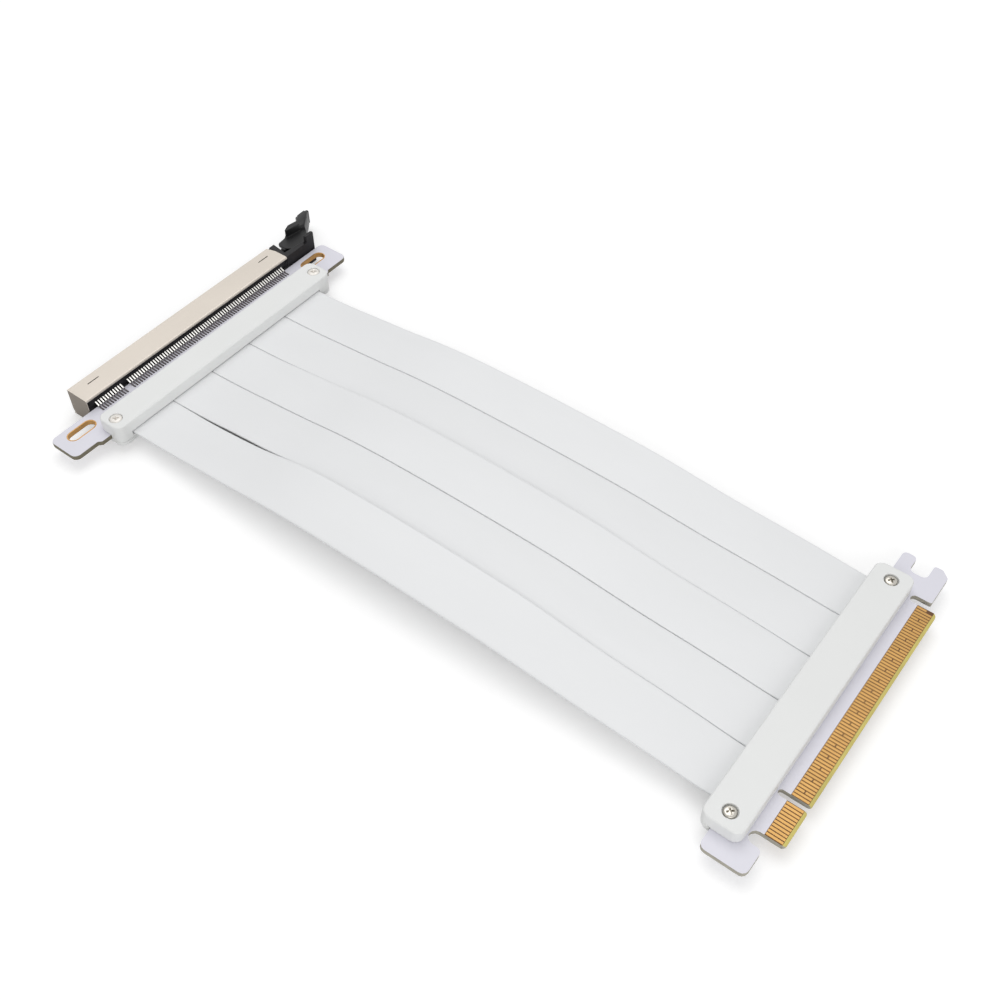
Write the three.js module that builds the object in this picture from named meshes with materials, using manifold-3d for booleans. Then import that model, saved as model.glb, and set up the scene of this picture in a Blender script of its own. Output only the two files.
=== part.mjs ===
// Flat riser cable for a graphics card: an edge-card plug at one end, a steel-clad
// card slot with a swinging retention latch at the other, and five flat ribbons between.
// Millimetres. +X runs along the cable towards the plug, +Y across it, +Z up.
// While it is being built, x = 0 is the inner end of the gold fingers, y = 0 the middle
// of the plug's key notch and z = 0 the top face of both boards.

import * as THREE from 'three';
import { mergeVertices, mergeGeometries } from 'three/addons/utils/BufferGeometryUtils.js';
import Module from 'manifold-3d';

// ---------------------------------------------------------------- driving dimensions
// contact pattern, shared by the plug and the slot
const pitch = 1.0;
const shortPins = 11;
const longPins = 71;
const keyStep = 3.0;            // centre distance of the two contacts beside the key
const pinMargin = 0.65;         // outer contact's centre to the edge of its tongue
const keyMargin = 0.55;         // inner contact's centre to the key notch

// boards
const boardT = 1.6;
const seat = 0.1;               // gap between parts that are pressed together
const parting = 0.05;           // gap along the parting line of a cover

// plug board
const plugBackX = -11.2;        // edge under the cover
const notchEndX = -3.1;         // inner end of the notches
const tongueEdgeX = 5.5;
const tongueCornerR = 1.0;
const chamferLen = 0.8;
const chamferDepth = 0.4;
const earSlotW = 3.8;           // notch between ear and tongue
const earLen = 8.1;
const earEdgeX = 1.5;
const earR = 1.8;
const hookSlotW = 2.6;          // slot between tongue and hook
const hookSlotEndX = -2.8;
const hookEdgeX = 2.75;
const hookLen = 12.65;
const hookMouthX0 = -7.15;      // open notch in the hook
const hookMouthX1 = -2.0;
const hookMouthDepth = 5.7;
const hookR = 1.3;

// gold fingers
const fingerW = 0.7;
const fingerLen = 4.6;
const fingerRise = 0.05;
const fingerSplitEvery = 4;
const fingerSplit = 0.3;

// plug cover
const plugCoverX0 = -14.8;
const plugCoverX1 = -3.4;
const plugCoverNear = 6.45;     // past the short tongue
const plugCoverFar = 4.35;      // past the long tongue
const plugCoverTop = 4.6;
const plugCoverSkirt = -1.0;    // lower edge of its walls
const plugCoverBottom = -2.8;
const plugInset = 0.6;          // lower cover inside the outline of the upper one
const coverR = 2.5;
const coverBevel = 0.45;
const ventW = 1.7;              // small relief in the end wall, above the ear
const ventH = 0.5;

// screws
const screwHeadR = 1.8;
const screwHeadH = 0.9;
const screwR = 0.9;
const screwFit = 0.12;          // radial gap round the shank
const screwRecessR = 2.1;
const screwRecessDepth = 1.1;
const screwInset = 4.55;        // from the end of the plug cover
const plugScrewX = -8.87;
const driveW = 0.5;
const driveLen = 2.1;
const driveDepth = 0.55;

// ribbons
const ribbons = 5;
const ribbonInset = 0.275;      // outer ribbons inside the width of the tongues
const ribbonShiftY = 0.5;
const ribbonGap = 0.2;
const ribbonT = 0.9;
const ribbonFit = 0.25;
const ribbonPlugZ = 0.1;        // underside where it enters the plug cover
const ribbonSocketZ = -0.5;     // underside where it enters the socket cover
const ribbonPlugIn = 0.6;       // length on the plug board
const freeLength = 204.9;       // between the two covers, along X
const archHeight = 6.3;
const archShape = [0, 0.1, 0.31, 0.52, 0.79, 0.94, 0.99, 1, 0.98, 0.93, 0.84, 0.64, 0.45, 0.33, 0.18, 0];
const edgeLift = [[0.75, 0.95], [1.35, 1.0], [1.0, 1.12], [1.12, 0.78], [0.78, 1.02]];

// socket cover
const socketCoverLen = 9.8;
const socketCoverTop = 4.7;
const socketCoverBottom = -2.9;
const socketCoverNear = 6.06;   // past the first contact of the slot
const socketCoverFar = 5.84;    // past its last contact
const socketScrewInset = 3.3;
const socketScrewRecess = 0.7;

// socket board
const socketBoardNear = 19.11;  // past the first contact of the slot
const socketBoardFar = 19.74;   // past its last contact
const socketBoardLen = 12.85;   // slot end to the edge under the cover
const socketEarStep = 1.0;
const socketEarStepIn = 4.4;    // the step's distance from the cover
const socketBoardR = 2.0;
const plateSlotW = 3.8;         // oblong plated slots
const plateSlotLen = 9.8;
const plateSlotX = 4.2;         // slot centre from the board's edge
const plateSlotY = 8.95;        // slot centre from the board's end

// card slot
const slotShiftY = 1.16;        // key of the slot against the key of the plug
const bodyGap = 0.75;           // rear face to the board's edge
const bodyDepth = 8.3;
const bodyMidZ = -boardT / 2;
const bodyH = 9.76;             // over the steel
const bodyNear = 3.26;          // past the first contact
const bodyFar = 3.34;           // past the last contact
const steelT = 0.25;
const steelFit = 0.1;
const steelBend = 0.6;
const steelLip = 0.75;
const steelCorner = 2.0;
const steelSlitLen = 4.5;
const steelSlitW = 0.4;
const steelSlitX = 5.4;         // from the rear face
const steelSlitEnd = 5.6;       // from the end of the steel
const cardSlotH = 2.0;
const cardSlotDepth = 7.4;
const cardFit = 0.1;
const cardLeadIn = 0.7;
const keyW = 1.7;
const keySink = 1.0;
const bowW = 0.5;               // contact bows inside the slot
const bowRise = 0.2;
const bowStart = 1.6;           // from the mouth
const bowLen = 3.4;
const tailW = 0.45;             // solder tails
const tailT = 0.2;
const tailRise = 1.48;          // above the board where they leave the housing
const tailRun = 2.2;            // length of the slope
const tailFoot = 1.4;           // length of the flat foot
const tailFit = 0.05;           // solder gap under the foot
const footW = 2.0;              // blocks that carry the board's edge

// latch tower and latch
const towerLen = 13.76;
const towerBlock = 1.1;         // end block between the steel and the recess
const towerWallT = 2.5;
const towerWallThin = 1.3;      // at its far end
const towerSkewY = 1.3;
const lugH = 2.4;
const lugLen = 3.8;
const pivotX = 5.2;             // from the rear face
const pivotIn = 10.2;           // from the end of the steel
const pivotR = 1.2;
const pivotFit = 0.1;
const cheekT = 1.0;             // the latch is a fork round the card
const latchLift = 0.3;          // above the tower's floor
const noseFit = 0.15;           // between the latch and the card's hook
const noseX = 5.1;              // latch, all from the pivot
const noseY = 4.5;
const noseR = 1.3;
const heelX = 2.3;
const neckY = 6.0;
const elbowX = 3.0;
const elbowY = 8.1;
const backX = 6.9;
const ribX = 5.4;
const ribLen = 7.4;
const padH = 5.1;
const padY0 = 10.3;
const padY1 = 16.3;
const padBackX = 10.3;
const padT = 1.2;
const past = 30;                // how far cuts run past a part

// ---------------------------------------------------------------- derived places
const y1 = -keyStep / 2 - (shortPins - 1) * pitch;      // first contact of the plug
const y82 = keyStep / 2 + (longPins - 1) * pitch;       // last contact of the plug
const tongueY0 = y1 - pinMargin;
const tongueY1 = y82 + pinMargin;
const keyHalf = keyStep / 2 - keyMargin;
const earY1 = tongueY0 - earSlotW;
const earY0 = earY1 - earLen;
const hookY0 = tongueY1 + hookSlotW;
const hookTopY = hookY0 + hookLen;
const hookMouthY = hookTopY - hookMouthDepth;
const plugCoverY0 = tongueY0 - plugCoverNear;
const plugCoverY1 = tongueY1 + plugCoverFar;
const ribbonMidY = (tongueY0 + tongueY1) / 2 + ribbonShiftY;
const ribbonPitch = (tongueY1 - tongueY0 - 2 * ribbonInset) / ribbons;
const ribbonW = ribbonPitch - ribbonGap;
const ribbonsY0 = ribbonMidY - ribbons * ribbonPitch / 2;
const ribbonsY1 = ribbonMidY + ribbons * ribbonPitch / 2;
const ribbonX1 = plugBackX + ribbonPlugIn;
const socketCoverX1 = plugCoverX0 - freeLength;
const socketCoverX0 = socketCoverX1 - socketCoverLen;
const socketBoardX1 = socketCoverX1 - socketCoverLen / 2 + 0.2;
const socketBoardX0 = socketBoardX1 - socketBoardLen;
const ribbonX0 = socketBoardX1 + 0.5;
const socketScrewX = socketBoardX1;
const slotPin1 = y1 + slotShiftY;
const slotPin82 = y82 + slotShiftY;
const socketCoverY0 = slotPin1 - socketCoverNear;
const socketCoverY1 = slotPin82 + socketCoverFar;
const socketBoardY0 = slotPin1 - socketBoardNear;
const socketBoardY1 = slotPin82 + socketBoardFar;
const nearY = slotPin1 - bodyNear;
const bodyFarY = slotPin82 + bodyFar;
const towerEndY = bodyFarY + towerLen;
const towerStartY = bodyFarY + towerBlock;
const pivotY = bodyFarY + pivotIn;
const socketScrewY = [socketCoverY0 + socketScrewInset, socketCoverY1 - socketScrewInset];
const plugScrewY = [plugCoverY0 + screwInset, plugCoverY1 - screwInset];
const rearX = socketBoardX0 - bodyGap;
const mouthX = rearX - bodyDepth;
const bodyTop = bodyMidZ + bodyH / 2;
const bodyBottom = bodyMidZ - bodyH / 2;
const zLo = bodyMidZ - cardSlotH / 2;
const zHi = bodyMidZ + cardSlotH / 2;
const latchZ0 = zLo - cheekT;
const latchZ1 = zHi + cheekT;
const towerFloorZ = latchZ0 - latchLift;
// where the hook of a seated card lies
const cardEdgeX = mouthX + cardSlotDepth;
const hookX1 = cardEdgeX - (tongueEdgeX - hookEdgeX);
const hookX0 = cardEdgeX - (tongueEdgeX - hookMouthX1);
const hookNearY = hookY0 + slotShiftY;
const hookFarY = hookTopY + slotShiftY;
const hookNotchY = hookMouthY + slotShiftY;
const steelMouthX = mouthX - 0.3;
const steelRearX = rearX + steelT + 0.05;
const plugPins = [];
for (let i = 0; i < shortPins; i++) plugPins.push(y1 + i * pitch);
for (let i = 0; i < longPins; i++) plugPins.push(keyStep / 2 + i * pitch);
const slotPins = plugPins.map((y) => y + slotShiftY);

// ---------------------------------------------------------------- shape helpers
// outline through [x, y, corner radius] points, with each corner rounded
function outline(corners, steps = 4) {
  const pts = [];
  const n = corners.length;
  corners.forEach(([x, y, r = 0], i) => {
    const p = new THREE.Vector2(x, y);
    const [ax, ay] = corners[(i + n - 1) % n];
    const [bx, by] = corners[(i + 1) % n];
    const a = new THREE.Vector2(ax, ay).sub(p);
    const b = new THREE.Vector2(bx, by).sub(p);
    const half = Math.acos(THREE.MathUtils.clamp(a.dot(b) / (a.length() * b.length()), -1, 1)) / 2;
    const cut = r / Math.tan(half);
    if (r <= 0) { pts.push(p); return; }
    a.normalize(); b.normalize();
    const centre = a.clone().add(b).normalize().multiplyScalar(r / Math.sin(half)).add(p);
    const from = p.clone().addScaledVector(a, cut).sub(centre);
    const to = p.clone().addScaledVector(b, cut).sub(centre);
    const sweep = Math.atan2(from.x * to.y - from.y * to.x, from.dot(to));
    for (let k = 0; k <= steps; k++) {
      const c = from.clone().rotateAround(new THREE.Vector2(), sweep * k / steps);
      pts.push(c.add(centre));
    }
  });
  return new THREE.Shape(pts);
}

function rect(x0, x1, ya, yb, r = 0) {
  return outline([[x0, ya, r], [x1, ya, r], [x1, yb, r], [x0, yb, r]]);
}

// the shape drawn in XY, standing from z0 to z1
function prism(shape, z0, z1) {
  return new THREE.ExtrudeGeometry(shape, { depth: z1 - z0, bevelEnabled: false }).translate(0, 0, z0);
}

// the shape drawn in XZ, running from ya to yb
function barY(shape, ya, yb) {
  return new THREE.ExtrudeGeometry(shape, { depth: yb - ya, bevelEnabled: false })
    .rotateX(Math.PI / 2).translate(0, yb, 0);
}

function box(x0, x1, ya, yb, z0, z1) {
  return new THREE.BoxGeometry(x1 - x0, yb - ya, z1 - z0)
    .translate((x0 + x1) / 2, (ya + yb) / 2, (z0 + z1) / 2);
}

function rod(r, x, y, z0, z1, sides = 16) {
  return new THREE.CylinderGeometry(r, r, z1 - z0, sides).rotateX(Math.PI / 2)
    .translate(x, y, (z0 + z1) / 2);
}

// closed skin through rings of equal point count, the first and last ring capped
function loft(rings) {
  const n = rings[0].length;
  const pos = rings.flat().flatMap((p) => [p.x, p.y, p.z]);
  const index = [];
  for (let s = 0; s + 1 < rings.length; s++) {
    for (let k = 0; k < n; k++) {
      const a = s * n + k;
      const b = s * n + (k + 1) % n;
      index.push(a, b, b + n, a, b + n, a + n);
    }
  }
  const last = (rings.length - 1) * n;
  for (let k = 1; k + 1 < n; k++) {
    index.push(0, k + 1, k);
    index.push(last, last + k, last + k + 1);
  }
  const g = new THREE.BufferGeometry();
  g.setAttribute('position', new THREE.Float32BufferAttribute(pos, 3));
  g.setIndex(index);
  return g;
}

// rounded block with a bevelled top edge
function coverBlock(x0, x1, ya, yb, z0, z1, r, bevel) {
  const ring = (inset, z) => {
    const rr = r - inset;
    return rect(x0 + inset, x1 - inset, ya + inset, yb - inset, rr).getPoints()
      .map((p) => new THREE.Vector3(p.x, p.y, z));
  };
  const shrink = bevel * (1 - Math.SQRT1_2);
  return loft([ring(0, z0), ring(0, z1 - bevel), ring(shrink, z1 - shrink), ring(bevel, z1)]);
}

// ---------------------------------------------------------------- joining and cutting
const wasm = await Module();
wasm.setup();

function solid(geometry) {
  const g = geometry.clone();
  g.deleteAttribute('normal');
  g.deleteAttribute('uv');
  const m = mergeVertices(g, 1e-4);
  return new wasm.Manifold(new wasm.Mesh({
    numProp: 3,
    vertProperties: new Float32Array(m.attributes.position.array),
    triVerts: new Uint32Array(m.index.array),
  }));
}

// copies that stay clear of each other, as one set
function set(geometries) {
  return solid(mergeGeometries(geometries.map((g) => {
    const c = g.clone();
    c.deleteAttribute('normal');
    c.deleteAttribute('uv');
    return c;
  })));
}

function geometryOf(manifold) {
  const mesh = manifold.getMesh();
  const g = new THREE.BufferGeometry();
  g.setAttribute('position', new THREE.BufferAttribute(new Float32Array(mesh.vertProperties), 3));
  g.setIndex(new THREE.BufferAttribute(new Uint32Array(mesh.triVerts), 1));
  g.computeVertexNormals();
  return g;
}

// ---------------------------------------------------------------- materials
const paint = (color, roughness, metalness = 0) =>
  new THREE.MeshStandardMaterial({ color, roughness, metalness });
const coverWhite = paint(0xe2e3e1, 0.55);
const boardWhite = paint(0xdedee6, 0.5);
const ribbonWhite = paint(0xe6e8ea, 0.45);
const housingBlack = paint(0x28282a, 0.5);
const latchBlack = paint(0x2b2b2d, 0.45);
const nickel = paint(0xd4cbc2, 0.35, 0.85);
const screwSteel = paint(0xb9bab8, 0.3, 0.9);

const group = new THREE.Group();
const cable = new THREE.Group();
group.add(cable);
function add(name, shape, material) {
  const geometry = shape.isBufferGeometry ? shape : geometryOf(shape);
  const mesh = new THREE.Mesh(geometry, material);
  mesh.name = name;
  cable.add(mesh);
  return mesh;
}

// ---------------------------------------------------------------- plug board
const keyR = keyHalf - 0.01;
const plugOutline = outline([
  [plugBackX, earY0, earR], [earEdgeX, earY0, earR], [earEdgeX, earY1, earR * 0.75],
  [notchEndX, earY1, earSlotW / 2 - 0.01], [notchEndX, tongueY0, earSlotW / 2 - 0.01],
  [tongueEdgeX, tongueY0, tongueCornerR], [tongueEdgeX, -keyHalf, tongueCornerR / 2],
  [notchEndX, -keyHalf, keyR], [notchEndX, keyHalf, keyR],
  [tongueEdgeX, keyHalf, tongueCornerR / 2], [tongueEdgeX, tongueY1, tongueCornerR],
  [hookSlotEndX, tongueY1, hookSlotW / 2 - 0.01], [hookSlotEndX, hookY0, hookSlotW / 2 - 0.01],
  [hookEdgeX, hookY0, 0.5], [hookEdgeX, hookTopY - 2, 0.8], [0.5, hookTopY, 0.9],
  [hookMouthX1, hookTopY, hookR * 0.6], [hookMouthX1, hookMouthY, 1.5],
  [hookMouthX0, hookMouthY, 1.5], [hookMouthX0, hookTopY, hookR],
  [plugBackX, hookTopY, hookR],
], 3);
let plugBoard = solid(prism(plugOutline, -boardT, 0));
for (const side of [1, -1]) {
  const z = side > 0 ? 0 : -boardT;
  const wedge = new THREE.Shape([
    new THREE.Vector2(tongueEdgeX - chamferLen, z + side * 0.3),
    new THREE.Vector2(tongueEdgeX - chamferLen, z),
    new THREE.Vector2(tongueEdgeX + 0.4, z - side * chamferDepth * (1 + 0.4 / chamferLen)),
    new THREE.Vector2(tongueEdgeX + 0.4, z + side * 0.3),
  ]);
  plugBoard = plugBoard.subtract(solid(barY(wedge, tongueY0 - 1, tongueY1 + 1)));
}
for (const y of plugScrewY) {
  plugBoard = plugBoard.subtract(solid(rod(screwR + 0.35, plugScrewX, y, -boardT - 1, 1)));
}
// gold fingers on both faces, raised by the thickness of the plating; every fourth one of
// the long row is split across its middle
const fingers = [];
plugPins.forEach((y, i) => {
  const long = i - shortPins;
  const split = long > 0 && long < longPins - 1 && long % fingerSplitEvery === 2;
  const runs = split
    ? [[0, (fingerLen - fingerSplit) / 2], [(fingerLen + fingerSplit) / 2, fingerLen]]
    : [[0, i === plugPins.length - 1 ? fingerLen * 0.6 : fingerLen]];
  for (const z of [0, -boardT]) {
    for (const [xa, xb] of runs) {
      fingers.push(box(xa, xb, y - fingerW / 2, y + fingerW / 2, z - fingerRise, z + fingerRise));
    }
  }
});
plugBoard = plugBoard.add(set(fingers));
add('plug_board', plugBoard, boardWhite);

// ---------------------------------------------------------------- plug cover
let plugTop = solid(coverBlock(plugCoverX0, plugCoverX1, plugCoverY0, plugCoverY1,
  plugCoverSkirt, plugCoverTop, coverR, coverBevel));
plugTop = plugTop
  .subtract(solid(box(plugBackX - seat, past, nearY - past, bodyFarY + past, -past, seat)))
  .subtract(solid(box(plugCoverX0 - past, ribbonX1 + 0.3, ribbonsY0 - ribbonFit, ribbonsY1 + ribbonFit, -past,
    ribbonPlugZ + ribbonT + ribbonFit)))
  .subtract(solid(box(plugBackX - ventW, plugBackX, plugCoverY0 - 1, plugCoverY0 + 0.8, 0, ventH)));
for (const y of plugScrewY) {
  plugTop = plugTop
    .subtract(solid(rod(screwRecessR, plugScrewX, y, plugCoverTop - screwRecessDepth, past)))
    .subtract(solid(rod(screwR + screwFit, plugScrewX, y, -past, past)));
}
add('plug_cover_top', plugTop, coverWhite);

const plugFloorZ = -boardT - seat;
let plugBase = solid(prism(rect(plugCoverX0 + plugInset, plugCoverX1 - plugInset,
  plugCoverY0 + plugInset, plugCoverY1 - plugInset, coverR - plugInset), plugCoverBottom, plugFloorZ));
plugBase = plugBase.add(solid(box(plugCoverX0 + 0.1, plugBackX - seat, ribbonsY0, ribbonsY1,
  plugFloorZ - 0.6, ribbonPlugZ - seat)));
for (const y of plugScrewY) {
  plugBase = plugBase.subtract(solid(rod(screwR + screwFit, plugScrewX, y, -past, past)));
}
add('plug_cover_bottom', plugBase, coverWhite);

// ---------------------------------------------------------------- screws
function screw(name, x, y, headTop, tipZ) {
  const seatZ = headTop - screwHeadH;
  const profile = [
    [0, tipZ], [screwR * 0.8, tipZ], [screwR, tipZ + 0.3], [screwR, seatZ],
    [screwHeadR, seatZ], [screwHeadR, seatZ + screwHeadH * 0.5],
    [screwHeadR * 0.72, headTop], [0, headTop],
  ].map(([r, z]) => new THREE.Vector2(r, z));
  const blank = new THREE.LatheGeometry(profile, 16).rotateX(Math.PI / 2);
  let body = solid(blank);
  for (const turn of [Math.PI / 4, -Math.PI / 4]) {
    const arm = new THREE.BoxGeometry(driveLen, driveW, 2 * driveDepth).rotateZ(turn)
      .translate(0, 0, headTop);
    body = body.subtract(solid(arm));
  }
  add(name, body, screwSteel).position.set(x, y, 0);
}
const plugHeadTop = plugCoverTop - screwRecessDepth + seat + screwHeadH;
screw('plug_screw_near', plugScrewX, plugScrewY[0], plugHeadTop, plugCoverBottom + 0.2);
screw('plug_screw_far', plugScrewX, plugScrewY[1], plugHeadTop, plugCoverBottom + 0.2);
const socketHeadTop = socketCoverTop - socketScrewRecess + seat + screwHeadH - 0.25;
screw('socket_screw_near', socketScrewX, socketScrewY[0], socketHeadTop, socketCoverBottom + 0.2);
screw('socket_screw_far', socketScrewX, socketScrewY[1], socketHeadTop, socketCoverBottom + 0.2);

// ---------------------------------------------------------------- ribbons
const archCurve = new THREE.SplineCurve(archShape.map((h, i) =>
  new THREE.Vector2(i / (archShape.length - 1), h * archHeight)));
const stations = 12;
for (let k = 0; k < ribbons; k++) {
  const ya = ribbonsY0 + k * ribbonPitch + ribbonGap / 2;
  const yb = ya + ribbonW;
  const c = 0.28;
  const section = [[0, c], [c, 0], [1, 0], [1, 1], [2, 1], [2, 2], [3, 2], [3, 3]];
  const rings = [];
  for (let s = -1; s <= stations + 1; s++) {
    const u = THREE.MathUtils.clamp(s / stations, 0, 1);
    let x = THREE.MathUtils.lerp(socketCoverX1, plugCoverX0, u);
    if (s < 0) x = ribbonX0;
    if (s > stations) x = ribbonX1;
    const base = THREE.MathUtils.lerp(ribbonSocketZ, ribbonPlugZ, u);
    const arch = u <= 0 || u >= 1 ? 0 : archCurve.getPoint(u).y;
    const [fa, fb] = edgeLift[k];
    const low = (y) => base + arch * THREE.MathUtils.lerp(fa, fb, (y - ya) / ribbonW);
    const at = (y, dz) => new THREE.Vector3(x, y, low(y) + dz);
    rings.push([
      at(ya, ribbonT - c), at(ya, c), at(ya + c, 0), at(yb - c, 0),
      at(yb, c), at(yb, ribbonT - c), at(yb - c, ribbonT), at(ya + c, ribbonT),
    ]);
  }
  add(`ribbon_${k + 1}`, loft(rings), ribbonWhite);
}

// ---------------------------------------------------------------- socket cover
const socketFloorZ = -boardT - seat;
let socketTop = solid(coverBlock(socketCoverX0, socketCoverX1, socketCoverY0, socketCoverY1,
  socketFloorZ + parting, socketCoverTop, coverR, coverBevel));
socketTop = socketTop
  .subtract(solid(box(socketCoverX0 - past, socketBoardX1 + seat, nearY - past, bodyFarY + past, -past, seat)))
  .subtract(solid(box(socketBoardX1 - 0.5, socketCoverX1 + past, ribbonsY0 - ribbonFit,
    ribbonsY1 + ribbonFit, ribbonSocketZ - ribbonFit, ribbonSocketZ + ribbonT + ribbonFit)));
for (const y of socketScrewY) {
  socketTop = socketTop
    .subtract(solid(rod(screwRecessR, socketScrewX, y, socketCoverTop - socketScrewRecess - 0.25, past)))
    .subtract(solid(rod(screwR + screwFit, socketScrewX, y, -past, past)));
}
add('socket_cover_top', socketTop, coverWhite);

let socketBase = solid(prism(rect(socketCoverX0, socketCoverX1, socketCoverY0, socketCoverY1, coverR),
  socketCoverBottom, socketFloorZ));
for (const y of socketScrewY) {
  socketBase = socketBase.subtract(solid(rod(screwR + screwFit, socketScrewX, y, -past, past)));
}
add('socket_cover_bottom', socketBase, coverWhite);

// ---------------------------------------------------------------- socket board
const earX1 = socketBoardX1 - socketEarStep;
const socketOutline = outline([
  [socketBoardX0, socketBoardY0, socketBoardR], [earX1, socketBoardY0, socketBoardR],
  [earX1, socketCoverY0 - socketEarStepIn, 0.4], [socketBoardX1, socketCoverY0 - socketEarStepIn + socketEarStep, 0.4],
  [socketBoardX1, socketCoverY1 + socketEarStepIn - socketEarStep, 0.4], [earX1, socketCoverY1 + socketEarStepIn, 0.4],
  [earX1, socketBoardY1, socketBoardR], [socketBoardX0, socketBoardY1, socketBoardR],
]);
for (const [ya, dir] of [[socketBoardY0, 1], [socketBoardY1, -1]]) {
  const cx = socketBoardX0 + plateSlotX;
  const cy = ya + dir * plateSlotY;
  socketOutline.holes.push(rect(cx - plateSlotW / 2, cx + plateSlotW / 2,
    cy - plateSlotLen / 2, cy + plateSlotLen / 2, plateSlotW / 2 - 0.01));
}
let socketBoard = solid(prism(socketOutline, -boardT, 0));
for (const y of socketScrewY) {
  socketBoard = socketBoard.subtract(solid(rod(screwR + 0.35, socketScrewX, y, -past, past)));
}
add('socket_board', socketBoard, boardWhite);

// ---------------------------------------------------------------- card slot housing
const innerTop = bodyTop - steelT - steelFit;
const innerBottom = bodyBottom + steelT + steelFit;
const innerNearY = nearY + steelT + steelFit;
const towerRearX = steelRearX;
let housing = solid(barY(outline([
  [mouthX, innerBottom, 0], [rearX, innerBottom, steelBend], [rearX, innerTop, steelBend], [mouthX, innerTop, 0],
], 2), innerNearY, bodyFarY));

// end block between the steel and the latch recess, full height and skewed to the mouth
housing = housing.add(solid(prism(outline([
  [mouthX, bodyFarY - 0.5], [towerRearX, bodyFarY + 0.05], [towerRearX, towerStartY],
  [mouthX, towerStartY + towerSkewY],
].map(([x, y]) => [x, Math.max(y, bodyFarY + 0.05), 0])), bodyBottom, bodyTop)));
housing = housing.add(solid(box(mouthX, rearX, bodyFarY - 0.4, towerStartY - 0.2, innerBottom, innerTop)));

// rear wall and floor of the latch tower, with a raised lug at its end
housing = housing.add(solid(prism(outline([
  [towerRearX, towerStartY - 0.5, 0], [towerRearX, towerEndY, 0.4],
  [towerRearX - towerWallThin, towerEndY, 0.4], [towerRearX - towerWallT, towerStartY - 0.5, 0],
]), bodyBottom, bodyTop)));
housing = housing.add(solid(prism(outline([
  [towerRearX, towerEndY - lugLen, 0.4], [towerRearX, towerEndY, 0.4],
  [towerRearX - towerWallThin, towerEndY, 0.4], [towerRearX - towerWallThin - 0.2, towerEndY - lugLen, 0.4],
]), bodyTop - 1, bodyTop + lugH)));
housing = housing.add(solid(prism(outline([
  [mouthX, towerStartY, 0], [towerRearX - 0.5, towerStartY, 0],
  [towerRearX - 0.5, towerEndY, 0], [mouthX + 2.2, towerEndY, 1.5], [mouthX, towerEndY - 4, 1.5],
]), bodyBottom, towerFloorZ)));
const px = rearX - pivotX;
housing = housing.add(solid(rod(pivotR, px, pivotY, towerFloorZ - 0.5, zLo - 0.05, 24)));

// card slot with its key rib and lead-in
const slotY0 = slotPins[0] - pinMargin - cardFit;
const slotY1 = slotPins[slotPins.length - 1] + pinMargin + cardFit;
let opening = solid(box(mouthX - 1, mouthX + cardSlotDepth, slotY0, slotY1, zLo, zHi));
const funnel = new THREE.Shape([
  new THREE.Vector2(mouthX - 0.2, zLo - cardLeadIn - 0.2), new THREE.Vector2(mouthX + cardLeadIn, zLo + 0.01),
  new THREE.Vector2(mouthX + cardLeadIn, zHi - 0.01), new THREE.Vector2(mouthX - 0.2, zHi + cardLeadIn + 0.2),
]);
opening = opening.add(solid(barY(funnel, slotY0 - cardLeadIn, slotY1 + cardLeadIn)));
opening = opening.subtract(solid(box(mouthX + keySink, rearX, slotShiftY - keyW / 2, slotShiftY + keyW / 2,
  zLo - 1, zHi + 1)));
housing = housing.subtract(opening);
// room for the hook of the card, beyond the end wall of the slot
housing = housing.subtract(solid(box(mouthX - 1, hookX1 + noseFit, hookNearY - noseFit, hookFarY + noseFit, zLo, zHi)));

// blocks that hold the board's edge
for (const [ya, yb] of [[innerNearY, innerNearY + footW], [slotShiftY - keyW / 2, slotShiftY + keyW / 2],
  [bodyFarY - footW, bodyFarY + 1]]) {
  housing = housing.add(solid(box(rearX - 0.3, socketBoardX0 - seat, ya, yb, -boardT, 0)));
}
// contacts: a bow in the card slot and a solder tail on the board, above and below
const bow = (side) => {
  const wall = side > 0 ? zHi : zLo;
  return [[bowStart, 0.2], [bowStart, 0], [bowStart + bowLen * 0.55, -bowRise],
    [bowStart + bowLen, 0], [bowStart + bowLen, 0.2]]
    .map(([x, d]) => new THREE.Vector2(mouthX + x, wall + side * d));
};
const tail = (side) => {
  const face = side > 0 ? 0 : -boardT;
  const footX = rearX + tailRun;
  return [[rearX - 0.2, tailRise + tailT / 2], [rearX - 0.2, tailRise - tailT / 2], [footX - 0.1, tailFit],
    [footX + tailFoot, tailFit], [footX + tailFoot, tailFit + tailT], [footX, tailFit + tailT]]
    .map(([x, d]) => new THREE.Vector2(x, face + side * d));
};
const contacts = [];
for (const y of slotPins) {
  for (const side of [1, -1]) {
    contacts.push(barY(new THREE.Shape(bow(side)), y - bowW / 2, y + bowW / 2));
    contacts.push(barY(new THREE.Shape(tail(side)), y - tailW / 2, y + tailW / 2));
  }
}
housing = housing.add(set(contacts));
add('slot_housing', housing, housingBlack);

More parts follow.
